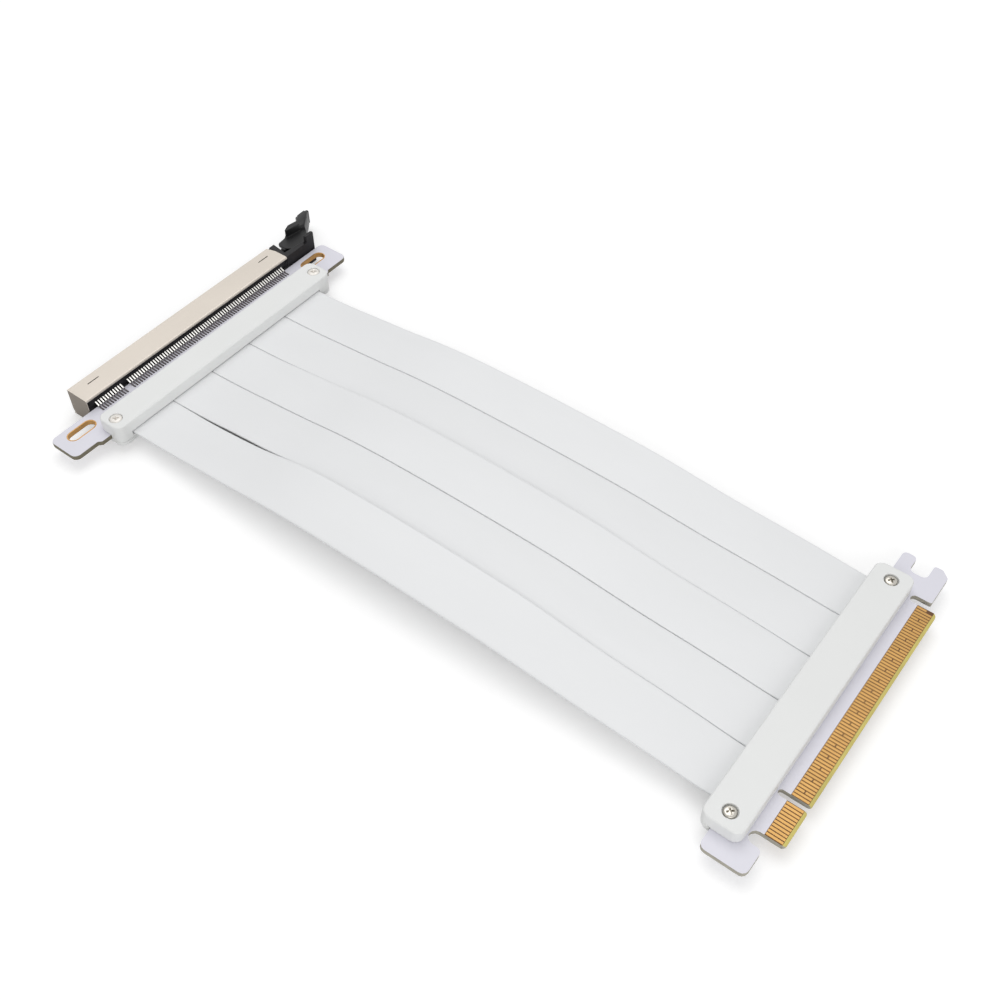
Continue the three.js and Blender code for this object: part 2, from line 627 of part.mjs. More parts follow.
// ---------------------------------------------------------------- steel shell of the slot
function steelPlate(sign) {
  const outer = sign > 0 ? bodyTop : bodyBottom;
  const z = (d) => outer - sign * d;
  const corners = [
    [steelMouthX, z(0), 0.1], [steelRearX, z(0), steelBend], [steelRearX, z(steelLip), 0],
    [steelRearX - steelT, z(steelLip), 0], [steelRearX - steelT, z(steelT), steelBend - steelT],
    [steelMouthX, z(steelT), 0.1],
  ];
  return barY(outline(corners, 3), nearY, bodyFarY);
}
const tab = outline([
  [steelMouthX + 0.1, bodyTop, 0], [steelMouthX + 0.1, bodyBottom, steelCorner],
  [steelRearX, bodyBottom, steelBend], [steelRearX, bodyTop, steelBend],
]);
let steel = solid(steelPlate(1)).add(solid(steelPlate(-1))).add(solid(barY(tab, nearY, nearY + steelT)));
const farCorner = outline([
  [steelMouthX - 1, bodyFarY - 1.2, 0], [steelMouthX + 3.4, bodyFarY + 0.01, 0], [steelMouthX - 1, bodyFarY + 1, 0],
]);
steel = steel.subtract(solid(prism(farCorner, bodyBottom - 1, bodyTop + 1)));
for (const y of [nearY + steelSlitEnd, bodyFarY - steelSlitEnd - steelSlitLen + 2]) {
  steel = steel.subtract(solid(box(rearX - steelSlitX - steelSlitW / 2, rearX - steelSlitX + steelSlitW / 2,
    y, y + steelSlitLen, bodyTop - steelT - 0.05, bodyTop + 1)));
}
add('slot_shield', steel, nickel);

// ---------------------------------------------------------------- latch
const fromPivot = (list) => outline(list.map(([x, y, r]) => [px + x, pivotY + y, r]), 3);
const lap = 0.2;                // lever's edge inside the rib and the pad that it carries
const lever = fromPivot([
  [-noseX, -noseY, noseR], [-noseX + 4, -noseY, noseR], [heelX - 0.9, -noseY / 2 - 0.3, noseR],
  [heelX, noseR, noseR], [-0.5, neckY, 0.8], [-elbowX, elbowY, 0.8],
  [-padBackX + 2.7 - lap, padY0 + 1.1, 0.8], [-padBackX + padT - lap, padY1 - 1, 0.3],
  [-padBackX + lap, padY1 - 1, 0.3], [-padBackX + lap, padY0 + lap, 1.0],
  [-backX + lap, ribLen - 0.5, 1.0], [-backX + lap, 2.4, 1.2], [-ribX - 0.1, -0.7, 1.0],
]);
const rib = fromPivot([
  [-ribX, -0.5, 0.4], [-ribX + 0.5, 1.3, 0.4], [-ribX + 1.3, ribLen - 1, 0.4],
  [-backX + 0.7, ribLen, 0.6], [-backX, 3.2, 1.2],
]);
const pad = fromPivot([
  [-padBackX + 2.7, padY0 + 1.1, 0.4], [-padBackX + padT, padY1 - 0.1, 0.4], [-padBackX, padY1, 0.5],
  [-padBackX, padY0, 0.6], [-padBackX + 1.7, padY0 - 0.9, 0.6],
]);
let latch = solid(prism(lever, latchZ0, latchZ1))
  .subtract(solid(box(hookX0 - noseFit, px + past, pivotY - past, hookFarY + noseFit, zLo, zHi)))
  .subtract(solid(box(px - past, px + past, pivotY - past, hookNotchY + 2 * noseFit, zLo, zHi)))
  .add(solid(prism(rib, bodyBottom + 0.3, bodyTop)))
  .add(solid(prism(pad, bodyMidZ - padH / 2, bodyMidZ + padH / 2)))
  .subtract(solid(rod(pivotR + pivotFit, px, pivotY, -past, zLo + 0.3, 24)));
add('slot_latch', latch, latchBlack);

// ---------------------------------------------------------------- origin: middle of the base
const bounds = new THREE.Box3().setFromObject(group);
cable.position.set(-(bounds.min.x + bounds.max.x) / 2, -(bounds.min.y + bounds.max.y) / 2, -bounds.min.z);

export default group;
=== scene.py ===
import math

import bmesh
import bpy
from bpy.props import FloatProperty, FloatVectorProperty, PointerProperty
from mathutils import Matrix, Vector


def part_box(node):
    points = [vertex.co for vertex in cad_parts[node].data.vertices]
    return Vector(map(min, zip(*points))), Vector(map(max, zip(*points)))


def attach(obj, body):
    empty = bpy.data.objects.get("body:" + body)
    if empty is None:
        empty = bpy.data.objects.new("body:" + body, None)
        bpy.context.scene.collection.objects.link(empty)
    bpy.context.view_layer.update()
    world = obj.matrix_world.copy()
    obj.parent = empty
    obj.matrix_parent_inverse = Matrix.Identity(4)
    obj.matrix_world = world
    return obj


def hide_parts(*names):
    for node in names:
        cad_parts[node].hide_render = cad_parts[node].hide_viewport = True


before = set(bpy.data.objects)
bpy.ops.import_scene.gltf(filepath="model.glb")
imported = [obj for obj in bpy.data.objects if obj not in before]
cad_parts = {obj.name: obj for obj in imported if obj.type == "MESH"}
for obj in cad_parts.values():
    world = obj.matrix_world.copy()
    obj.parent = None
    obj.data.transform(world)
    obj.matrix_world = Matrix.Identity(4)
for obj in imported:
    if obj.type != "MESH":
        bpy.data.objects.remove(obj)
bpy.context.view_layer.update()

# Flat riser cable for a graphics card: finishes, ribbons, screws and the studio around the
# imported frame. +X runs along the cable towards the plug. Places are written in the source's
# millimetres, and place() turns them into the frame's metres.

bl_info = {
    "name": "Riser cable",
    "version": (1, 0, 0),
    "blender": (4, 5, 0),
    "location": "View3D > Sidebar > Riser cable",
    "description": "Builds the finishes, ribbons, screws and studio of a flat riser cable",
    "category": "Object",
}

MM = 0.001
WELD = 1e-6              # vertices this close are one
FLAT = math.radians(0.3)  # faces this close to one plane are joined
SHARP = math.radians(40)  # edges sharper than this are softened

# The source's own zero: inner end of the gold fingers, middle of the key notch, board tops.
PLUG_LOW, PLUG_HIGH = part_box("plug_board")
SOCKET_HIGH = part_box("socket_board")[1]
TONGUE_EDGE = 5.5         # x of the tongue's front edge, in mm from that zero
EAR_EDGE = -24.05         # y of the plug board's near end
ZERO = Vector((PLUG_HIGH.x - TONGUE_EDGE * MM, PLUG_LOW.y - EAR_EDGE * MM, SOCKET_HIGH.z))


def place(x, y, z):
    """Point in the frame, in metres, of a point that the source gives in millimetres."""
    return ZERO + Vector((x, y, z)) * MM


def local(point):
    """The source's millimetres of a point in the frame."""
    return (point - ZERO) / MM


def display(red, green, blue):
    """Linear colour of display values from 0 to 255."""
    def linear(value):
        share = value / 255
        return share / 12.92 if share <= 0.04045 else ((share + 0.055) / 1.055) ** 2.4
    return tuple(linear(v) for v in (red, green, blue))


# Sizes and colours
def length(name, description, value, low=0.0, high=1.0):
    """Length that a user can change, with its default in millimetres."""
    return FloatProperty(name=name, description=description, default=value * MM,
                         min=low, max=high, precision=5, unit="LENGTH", subtype="DISTANCE")


def colour(name, description, red, green, blue):
    """Colour that a user can change, with its default in display values."""
    return FloatVectorProperty(name=name, description=description, size=3, min=0.0, max=1.0,
                               default=display(red, green, blue), subtype="COLOR")


class RiserSizes(bpy.types.PropertyGroup):
    """Sizes of the pieces that the scene makes, and of the softened edges."""

    arch: length("Arch height", "Height of the ribbons' bow above their ends", 6.3)
    ribbon_thickness: length("Ribbon thickness", "Thickness of one flat ribbon", 0.9)
    ribbon_edge: length("Ribbon edge radius", "Rounding of a ribbon's long edges", 0.34)
    ribbon_crown: length("Ribbon crown", "How far a ribbon's middle stands above its edges", 0.1)
    cover_edge: length("Cover edge", "Softened width on the white covers", 0.22)
    board_edge: length("Board edge", "Softened width on the boards", 0.08)
    shell_edge: length("Shell edge", "Softened width on the steel shell", 0.07)
    housing_edge: length("Housing edge", "Softened width on the black housing", 0.16)
    latch_edge: length("Latch edge", "Softened width on the latch", 0.24)
    screw_socket: length("Cross recess depth", "Depth of the cross recess in a screw", 0.75)


class RiserColours(bpy.types.PropertyGroup):
    """Colours of the finishes."""

    ribbon: colour("Ribbon", "Smooth white jacket of the ribbons", 232, 233, 234)
    cover: colour("Cover", "White moulded covers", 231, 232, 231)
    board: colour("Board", "White solder mask of the boards", 223, 222, 231)
    gold: colour("Gold fingers", "Gold plating of the contact fingers", 190, 147, 84)
    between: colour("Between fingers", "Bare laminate between the fingers", 98, 62, 24)
    chamfer: colour("Chamfer", "Bare laminate on the tongue's ground edge", 204, 190, 108)
    plug_edge: colour("Plug board edge", "Cut edge of the plug's board", 172, 168, 156)
    socket_edge: colour("Socket board edge", "Cut edge of the socket's board", 112, 106, 88)
    plating: colour("Plated slots", "Wall and rim of the oblong slots", 190, 146, 88)
    shell: colour("Shell", "Nickel-plated steel of the slot", 204, 196, 186)
    # The shell end's darker colour is a painted dark reflection on the end face that looks towards
    # -Y.
    shell_end_painted_reflection: colour("Shell end", "End of the shell, darkened as a painted dark reflection", 130, 121, 111)
    housing: colour("Housing", "Black plastic of the card slot", 26, 25, 27)
    latch: colour("Latch", "Black plastic of the latch", 28, 28, 29)
    tin: colour("Tails", "Tinned solder tails", 214, 212, 208)
    # The tail feet's dark colour is a painted shadow and dark reflection.
    foot: colour("Tail feet", "Feet of the tails, darkened as painted shadow and dark reflection", 74, 68, 70)
    screw: colour("Plug screws", "Plated screws of the plug's cover", 190, 186, 178)
    pale_screw: colour("Socket screws", "Paler screws of the socket's cover", 226, 222, 216)


class RiserStudio(bpy.types.PropertyGroup):
    """Camera, lamps and floor."""

    lens: FloatProperty(name="Lens", description="Focal length of the camera", default=45.409,
                        min=10, max=200, unit="CAMERA")
    floor: length("Floor size", "Edge of the square floor", 6000, high=50)
    sky: FloatProperty(name="Sky", description="Even light from all around", default=0.53,
                       min=0, max=5)
    key: FloatProperty(name="Key lamp", description="Power of the large lamp overhead",
                       default=4.0, min=0, max=200, unit="POWER")
    fill: FloatProperty(name="Fill lamp", description="Power of the low lamp on the camera's side",
                        default=2.4, min=0, max=200, unit="POWER")


# Materials
PATCHES = (0.3, 0.7)      # noise values between which the mottling goes from dark to pale
GRAIN_DEPTH = 0.05 * MM
LEAST_ROUGHNESS = 0.02


def node_kit(material):
    """The material's node tree, its shader and its object coordinates."""
    material.use_nodes = True
    tree = material.node_tree
    shader = tree.nodes["Principled BSDF"]
    coordinates = tree.nodes.new("ShaderNodeTexCoord")
    return tree, shader, coordinates.outputs["Object"]


def noise(tree, coordinates, scale, stretch=(1, 1, 1), detail=3.0):
    """Noise with `scale` features a metre, stretched along the axes."""
    mapping = tree.nodes.new("ShaderNodeMapping")
    mapping.inputs["Scale"].default_value = stretch
    tree.links.new(coordinates, mapping.inputs["Vector"])
    texture = tree.nodes.new("ShaderNodeTexNoise")
    texture.inputs["Scale"].default_value = scale
    texture.inputs["Detail"].default_value = detail
    tree.links.new(mapping.outputs["Vector"], texture.inputs["Vector"])
    return texture.outputs["Fac"]


def maths(tree, operation, first, second=None, clamp=False):
    """Output of a Math node whose inputs are other nodes' outputs or plain numbers."""
    node = tree.nodes.new("ShaderNodeMath")
    node.operation = operation
    node.use_clamp = clamp
    for socket, value in zip(node.inputs, (first, second)):
        if isinstance(value, bpy.types.NodeSocket):
            tree.links.new(value, socket)
        elif value is not None:
            socket.default_value = value
    return node.outputs[0]


def shade(rgb, factor):
    """Colour made paler or darker by a factor."""
    return tuple(min(1.0, v * factor) for v in rgb)


def finish(name, rgb, roughness, metallic=0.0, mottle=0.03, mottle_scale=60,
           mottle_stretch=(1, 1, 1), grain=0.0, grain_scale=4000, grain_stretch=(1, 1, 1),
           roughness_swing=0.06, specular=0.5):
    """Procedural finish: mottled colour, roughness that varies, and a fine surface grain."""
    material = bpy.data.materials.new(name)
    tree, shader, coordinates = node_kit(material)
    shader.inputs["Metallic"].default_value = metallic
    shader.inputs["Specular IOR Level"].default_value = specular

    patches = noise(tree, coordinates, mottle_scale, mottle_stretch)
    ramp = tree.nodes.new("ShaderNodeValToRGB")
    for stop, position, change in zip(ramp.color_ramp.elements, PATCHES, (-mottle, mottle)):
        stop.position = position
        stop.color = (*shade(rgb, 1 + change), 1)
    tree.links.new(patches, ramp.inputs["Fac"])
    tree.links.new(ramp.outputs["Color"], shader.inputs["Base Color"])

    sheen = tree.nodes.new("ShaderNodeMapRange")
    sheen.inputs["To Min"].default_value = max(LEAST_ROUGHNESS, roughness - roughness_swing)
    sheen.inputs["To Max"].default_value = roughness + roughness_swing
    fine = noise(tree, coordinates, grain_scale, grain_stretch, detail=4)
    tree.links.new(fine, sheen.inputs["Value"])
    tree.links.new(sheen.outputs["Result"], shader.inputs["Roughness"])

    if grain:
        bump = tree.nodes.new("ShaderNodeBump")
        bump.inputs["Strength"].default_value = grain
        bump.inputs["Distance"].default_value = GRAIN_DEPTH
        tree.links.new(fine, bump.inputs["Height"])
        tree.links.new(bump.outputs["Normal"], shader.inputs["Normal"])
    return material


# Mesh helpers
def link(name, mesh):
    """New piece in the scene."""
    piece = bpy.data.objects.new(name, mesh)
    bpy.context.scene.collection.objects.link(piece)
    return piece


def smooth(mesh, sharp=None):
    """Smooth shading on every face, split at edges sharper than `sharp`."""
    for polygon in mesh.polygons:
        polygon.use_smooth = True
    if sharp:
        mesh.set_sharp_from_angle(angle=sharp)


def soften(piece, width, clamp):
    """Softened edges where the mesh asks for them."""
    bevel = piece.modifiers.new("Softened edges", "BEVEL")
    bevel.width = width
    bevel.segments = 2
    bevel.limit_method = "WEIGHT"
    bevel.use_clamp_overlap = clamp
    flats = piece.modifiers.new("Flat faces stay flat", "WEIGHTED_NORMAL")
    flats.mode = "FACE_AREA"
    flats.weight = 100
    flats.keep_sharp = True


def dress(node, name, body, finishes, width, choose=None, crisp=None, cuts=(),
          clamp=False):
    """A skin that stands for a CAD node: the node's own shape with flat faces joined, its
    edges softened by `width` except where `crisp` says so, and a finish for each face."""
    mesh = bpy.data.meshes.new(name)
    skin = bmesh.new()
    skin.from_mesh(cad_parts[node].data)
    bmesh.ops.remove_doubles(skin, verts=skin.verts, dist=WELD)
    bmesh.ops.dissolve_limit(skin, angle_limit=FLAT, verts=skin.verts, edges=skin.edges)
    for point, normal in cuts:
        geometry = skin.verts[:] + skin.edges[:] + skin.faces[:]
        bmesh.ops.bisect_plane(skin, geom=geometry, dist=WELD, plane_co=point, plane_no=normal)
    skin.normal_update()
    for face in skin.faces:
        face.smooth = True
        if choose:
            face.material_index = choose(local(face.calc_center_median()), face.normal)
    weight = skin.edges.layers.float.new("bevel_weight_edge")
    for edge in skin.edges:
        if edge.is_manifold and edge.calc_face_angle() > SHARP:
            middle = local((edge.verts[0].co + edge.verts[1].co) / 2)
            if crisp and crisp(middle):
                edge.smooth = False
            else:
                edge[weight] = 1.0
    skin.to_mesh(mesh)
    skin.free()
    for material in finishes:
        mesh.materials.append(material)
    piece = link(name, mesh)
    soften(piece, width, clamp)
    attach(piece, body)
    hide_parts(node)
    return piece


def loft(name, rings):
    """Closed mesh through rings of equal point count."""
    mesh = bpy.data.meshes.new(name)
    count = len(rings[0])
    faces = []
    for s in range(len(rings) - 1):
        for k in range(count):
            a, b = s * count + k, s * count + (k + 1) % count
            faces.append((a, b, b + count, a + count))
    faces.append(tuple(reversed(range(count))))
    faces.append(tuple((len(rings) - 1) * count + k for k in range(count)))
    mesh.from_pydata([tuple(p) for ring in rings for p in ring], [], faces)
    mesh.update()
    smooth(mesh)
    return mesh


# Ribbons
RIBBONS = 5
# share of the arch height at even steps from the socket cover to the plug cover
ARCH_SHAPE = (0, 0.1, 0.31, 0.52, 0.79, 0.94, 0.99, 1, 0.98, 0.93, 0.84, 0.64, 0.45, 0.33, 0.18, 0)
# share of the arch that the near and the far edge of each ribbon follows
EDGE_LIFT = ((0.75, 1.3), (1.02, 1.0), (1.0, 1.14), (0.9, 0.78), (0.78, 1.02))
RIBBON_END_Z = (-0.5, 0.1)        # underside at the socket cover and at the plug cover
SOCKET_MOUTH_X = -219.7           # where the ribbons leave the socket cover
PLUG_MOUTH_X = -14.8
# local lift of one edge: ribbon, side, start and end along the ribbon, height in mm
EDGE_RIPPLES = ((0, 1, 0.0, 0.32, -1.05), (1, 0, 0.0, 0.3, 0.3))
# sideways opening between two ribbons: ribbon, side, start and end along it, width in mm
EDGE_OPENINGS = ((0, 1, 0.02, 0.27, -0.13), (1, 0, 0.02, 0.27, 0.11))
STATIONS = 84                     # steps along a ribbon between the covers
END_INSET = 0.1                   # the skin stops this short of the node's ends
CROWN_FADE = 14                   # the crown fades out over 1/14 of the ribbon at either end
CORNER_STEPS = 3


def arch_at(u):
    """Share of the arch height at u along the ribbons, on a smooth curve through ARCH_SHAPE."""
    steps = u * (len(ARCH_SHAPE) - 1)
    i = min(int(steps), len(ARCH_SHAPE) - 2)
    t = steps - i
    a = ARCH_SHAPE[max(i - 1, 0)]
    b, c = ARCH_SHAPE[i], ARCH_SHAPE[i + 1]
    d = ARCH_SHAPE[min(i + 2, len(ARCH_SHAPE) - 1)]
    v0, v1 = (c - a) / 2, (d - b) / 2
    return (2 * b - 2 * c + v0 + v1) * t ** 3 + (3 * c - 3 * b - 2 * v0 - v1) * t ** 2 + v0 * t + b


def opening(ribbon, share, u):
    """Sideways shift in mm of a point of a ribbon, most at the edge that opens."""
    total = 0.0
    for k, edge, start, end, width in EDGE_OPENINGS:
        if k == ribbon and start < u < end:
            reach = share if edge else 1 - share
            total += width * reach ** 4 * math.sin(math.pi * (u - start) / (end - start))
    return total


def ripple(ribbon, side, u):
    """Extra height in mm of one edge of a ribbon."""
    total = 0.0
    for k, edge, start, end, height in EDGE_RIPPLES:
        if k == ribbon and edge == side and start < u < end:
            total += height * math.sin(math.pi * (u - start) / (end - start)) ** 2
    return total


def ribbon_section(width, thickness, radius, crown):
    """(across, up) points of a flat ribbon's rounded section, seen along the ribbon."""
    points = []
    corners = ((-1, -1, 180), (1, -1, 270), (1, 1, 0), (-1, 1, 90))
    for sx, sy, start in corners:
        cx, cy = sx * (width / 2 - radius), sy * (thickness / 2 - radius)
        for k in range(CORNER_STEPS + 1):
            turn = math.radians(start + 90 * k / CORNER_STEPS)
            points.append((cx + radius * math.cos(turn), cy + radius * math.sin(turn)))
        if sx != sy:              # the long run to the next corner starts where they are equal
            continue
        for share in (-0.5, 0.0, 0.5):
            rise = crown * (1 - (2 * share) ** 2 * 0.5)
            points.append((-sy * share * width * 0.9, sy * thickness / 2 + rise))
    return points


class RISER_OT_ribbons(bpy.types.Operator):
    """Make the five flat ribbons between the two covers."""

    bl_idname = "riser.ribbons"
    bl_label = "Ribbons"

    def execute(self, context):
        sizes, colours = context.scene.riser_sizes, context.scene.riser_colours
        jacket = finish("White ribbon jacket", colours.ribbon, 0.46, mottle=0.008, mottle_scale=30,
                        mottle_stretch=(1, 3, 1), grain=0.12, grain_scale=900,
                        grain_stretch=(0.06, 1, 1), roughness_swing=0.05)
        thick = sizes.ribbon_thickness / MM
        for k in range(RIBBONS):
            node = f"ribbon_{k + 1}"
            low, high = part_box(node)
            start, end = local(low), local(high)
            width = end.y - start.y
            section = ribbon_section(width, thick, sizes.ribbon_edge / MM, sizes.ribbon_crown / MM)
            rings, middles = [], []
            for s in range(-1, STATIONS + 2):
                u = min(max(s / STATIONS, 0.0), 1.0)
                x = SOCKET_MOUTH_X + (PLUG_MOUTH_X - SOCKET_MOUTH_X) * u
                if s < 0:
                    x = start.x + END_INSET
                elif s > STATIONS:
                    x = end.x - END_INSET
                base = RIBBON_END_Z[0] + (RIBBON_END_Z[1] - RIBBON_END_Z[0]) * u + thick / 2
                arch = arch_at(u) * sizes.arch / MM
                near, far = (base + arch * lift + ripple(k, side, u)
                             for side, lift in enumerate(EDGE_LIFT[k]))
                fade = min(1.0, CROWN_FADE * u, CROWN_FADE * (1 - u))
                ring = []
                for across, up in section:
                    share = across / width + 0.5
                    past_flat = max(0.0, abs(up) - thick / 2)
                    crown = up - math.copysign(past_flat * (1 - fade), up)
                    height = near + (far - near) * share + crown
                    aside = across + opening(k, share, u)
                    ring.append(place(x, (start.y + end.y) / 2 + aside, height))
                rings.append(ring)
                if 0 <= s <= STATIONS:
                    middles.append(place(x, (start.y + end.y) / 2, (near + far) / 2))
            mesh = loft(f"ribbon_skin_{k + 1}", rings)
            mesh.materials.append(jacket)
            ribbon = link(f"ribbon_skin_{k + 1}", mesh)
            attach(ribbon, "riser")
            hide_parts(node)
        return {"FINISHED"}


# Covers
class RISER_OT_covers(bpy.types.Operator):
    """Dress the four white covers that clamp the ribbons to the boards."""

    bl_idname = "riser.covers"
    bl_label = "Covers"

    def execute(self, context):
        sizes, colours = context.scene.riser_sizes, context.scene.riser_colours
        plastic = finish("White moulded cover", colours.cover, 0.42, mottle=0.01, mottle_scale=45,
                         grain=0.22, grain_scale=3200, roughness_swing=0.05)
        for node in ("plug_cover_top", "plug_cover_bottom",
                     "socket_cover_top", "socket_cover_bottom"):
            dress(node, f"{node}_skin", "riser", [plastic], sizes.cover_edge)
        return {"FINISHED"}


# Boards
MASK, EDGE, BETWEEN, GOLD, CHAMFER = range(5)
PLATING = 2                        # third finish of the socket board
FINGERS_FROM = -0.12               # x where the laminate between the fingers starts
TONGUES_Y = (-12.2, 72.2)          # the two tongues and their fingers lie between these
CHAMFER_TILT = (0.3, 0.97)         # a ground face's direction has an upward part between these
BOARD_T = 1.6
RAISED = 0.005                     # anything this far off the board's faces is gold
FRONT_EDGE = TONGUE_EDGE - 0.2     # beyond this x an upright face is the tongue's ground front
CRISP_NEAR = 0.01                  # edges this near to a face of the board stay crisp
RING_W = 0.35                      # plated ring round each oblong slot
RING_RISE = 0.03
RING_SUNK = 0.01                   # the rings reach this far into the board
RING_OVERLAP = 0.02                # and this far in over the slot's edge
SLOT_HALF = (1.9, 4.9)
SLOT_MIDDLES = ((-233.05, -20.5), (-233.05, 83.45))
SLOT_REACH = 0.4                   # margin round a slot for finding its wall


def plug_board_finish(c, normal):
    """Finish of a face of the plug board, from its middle and direction."""
    if c.z > RAISED or c.z < -BOARD_T - RAISED:
        return GOLD
    on_tongue = TONGUES_Y[0] < c.y < TONGUES_Y[1] and c.x > FINGERS_FROM
    if CHAMFER_TILT[0] < abs(normal.z) < CHAMFER_TILT[1] and on_tongue:
        return CHAMFER
    if abs(normal.z) < 0.5:
        return CHAMFER if c.x > FRONT_EDGE else EDGE
    return BETWEEN if on_tongue else MASK


def crisp_on_plug(p):
    """Whether an edge of the plug board stays crisp: its upper face and the fingers below."""
    return p.z > -CRISP_NEAR or (p.z < -BOARD_T + CRISP_NEAR and p.x > FINGERS_FROM)


def socket_board_finish(c, normal):
    """Finish of a face of the socket board."""
    if abs(normal.z) > 0.5:
        return MASK
    in_slot = any(abs(c.x - x) < SLOT_HALF[0] + SLOT_REACH and
                  abs(c.y - y) < SLOT_HALF[1] + SLOT_REACH for x, y in SLOT_MIDDLES)
    return PLATING if in_slot else EDGE


def oblong(cx, cy, grow):
    """Points round an oblong slot's outline, grown by a length."""
    half_x, half_y = (half + grow for half in SLOT_HALF)
    steps = 8
    points = []
    for end, start in ((1, 0), (-1, 180)):
        for k in range(steps + 1):
            turn = math.radians(start + 180 * k / steps)
            points.append((cx + half_x * math.cos(turn),
                           cy + end * (half_y - half_x) + half_x * math.sin(turn)))
    return points


def plated_rings():
    """Thin plated rings round both ends of the oblong slots, as one mesh."""
    points, faces = [], []
    for cx, cy in SLOT_MIDDLES:
        for low, high in ((-RING_SUNK, RING_RISE),
                          (-BOARD_T - RING_RISE, -BOARD_T + RING_SUNK)):
            inner, outer = oblong(cx, cy, -RING_OVERLAP), oblong(cx, cy, RING_W)
            first, count = len(points), len(inner)
            for loop, z in ((inner, low), (inner, high), (outer, high), (outer, low)):
                points += [tuple(place(x, y, z)) for x, y in loop]
            for row in range(4):
                for k in range(count):
                    a, b = row * count + k, row * count + (k + 1) % count
                    c, d = (b + count) % (4 * count), (a + count) % (4 * count)
                    faces.append([first + v for v in (a, b, c, d)])
    mesh = bpy.data.meshes.new("plated_rings")
    mesh.from_pydata(points, [], faces)
    mesh.update()
    return mesh


class RISER_OT_boards(bpy.types.Operator):
    """Dress the two boards, with the plug's gold fingers and the plated slots."""

    bl_idname = "riser.boards"
    bl_label = "Boards"

    def execute(self, context):
        sizes, colours = context.scene.riser_sizes, context.scene.riser_colours
        mask = finish("White solder mask", colours.board, 0.34, mottle=0.012, mottle_scale=80,
                      grain=0.1, grain_scale=2600, roughness_swing=0.06)
        plug_edge, socket_edge = (
            finish(name, rgb, 0.7, mottle=0.18, mottle_scale=300, mottle_stretch=(1, 1, 9),
                   grain=0.5, grain_scale=1500, grain_stretch=(1, 1, 5))
            for name, rgb in (("Plug board edge", colours.plug_edge),
                              ("Socket board edge", colours.socket_edge)))
        between = finish("Laminate between fingers", colours.between, 0.6, mottle=0.12,
                         mottle_scale=400, grain=0.2)
        gold = finish("Gold finger", colours.gold, 0.34, metallic=0.6, mottle=0.06,
                      mottle_scale=260, grain=0.12, grain_scale=2500, grain_stretch=(0.1, 1, 1))
        chamfer = finish("Ground chamfer", colours.chamfer, 0.6, mottle=0.1, mottle_scale=500,
                         mottle_stretch=(1, 0.3, 1), grain=0.4, grain_scale=1800)
        plating = finish("Plated slot wall", colours.plating, 0.35, metallic=0.7, mottle=0.1,
                         mottle_scale=400)
        dress("plug_board", "plug_board_skin", "riser",
              [mask, plug_edge, between, gold, chamfer], sizes.board_edge, plug_board_finish,
              crisp=crisp_on_plug, cuts=[(place(FINGERS_FROM, 0, 0), (1, 0, 0))])
        dress("socket_board", "socket_board_skin", "riser",
              [mask, socket_edge, plating], sizes.board_edge, socket_board_finish)
        rings = link("plated_rings", plated_rings())
        rings.data.materials.append(plating)
        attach(rings, "riser")
        return {"FINISHED"}


# Screws
# head outline from its top to its rim, as shares of the head's radius and of its dome's height
HEAD_PROFILE = ((0.0, 1.0), (0.35, 0.985), (0.62, 0.93), (0.82, 0.8), (0.94, 0.6), (0.99, 0.38),
                (1.0, 0.0))
DOME_SHARE = 0.92                  # share of the head's height that is dome
HEAD_HEIGHT = 0.9
HEAD_UNDER = 0.97                  # radius of the head's underside, against its rim
HEAD_SPREAD = 0.22                 # the socket's screws have heads this much wider in radius
SHANK_R = 0.9
POINT_SHARE = 0.7                  # radius of the shank's foot, against the shank
POINT_LENGTH = 0.3
CENTRE_R = 0.02                    # smallest radius at either end of the turned body
TURN_STEPS = 40
CROSS_ARM, CROSS_WIDTH = 2.5, 0.62
CROSS_ABOVE = 0.3                  # the cutter starts this far above the head
CROSS_TAPER = (0.45, 0.6)          # arm and width at the recess's bottom, against the top


def turned(name, profile, centre):
    """Closed body of revolution about Z through (radius, height) points in mm."""
    turns = [2 * math.pi * k / TURN_STEPS for k in range(TURN_STEPS)]
    return loft(name, [[centre + Vector((radius * math.cos(turn), radius * math.sin(turn),
                                         height)) * MM for turn in turns]
                       for radius, height in profile])


def cross_cutter(centre, depth):
    """Tapered cross that cuts the recess of a screw."""
    cutter = bmesh.new()
    for turn in (math.pi / 4, -math.pi / 4):
        made = bmesh.ops.create_cube(cutter, size=1.0)["verts"]
        for v in made:
            deep = v.co.z < 0
            v.co.x *= CROSS_ARM * (CROSS_TAPER[0] if deep else 1.0)
            v.co.y *= CROSS_WIDTH * (CROSS_TAPER[1] if deep else 1.0)
            v.co.z = -depth if deep else CROSS_ABOVE
        bmesh.ops.rotate(cutter, verts=made, cent=(0, 0, 0), matrix=Matrix.Rotation(turn, 3, "Z"))
    for v in cutter.verts:
        v.co = centre + v.co * MM
    mesh = bpy.data.meshes.new("cross")
    cutter.to_mesh(mesh)
    cutter.free()
    return link("cross", mesh)


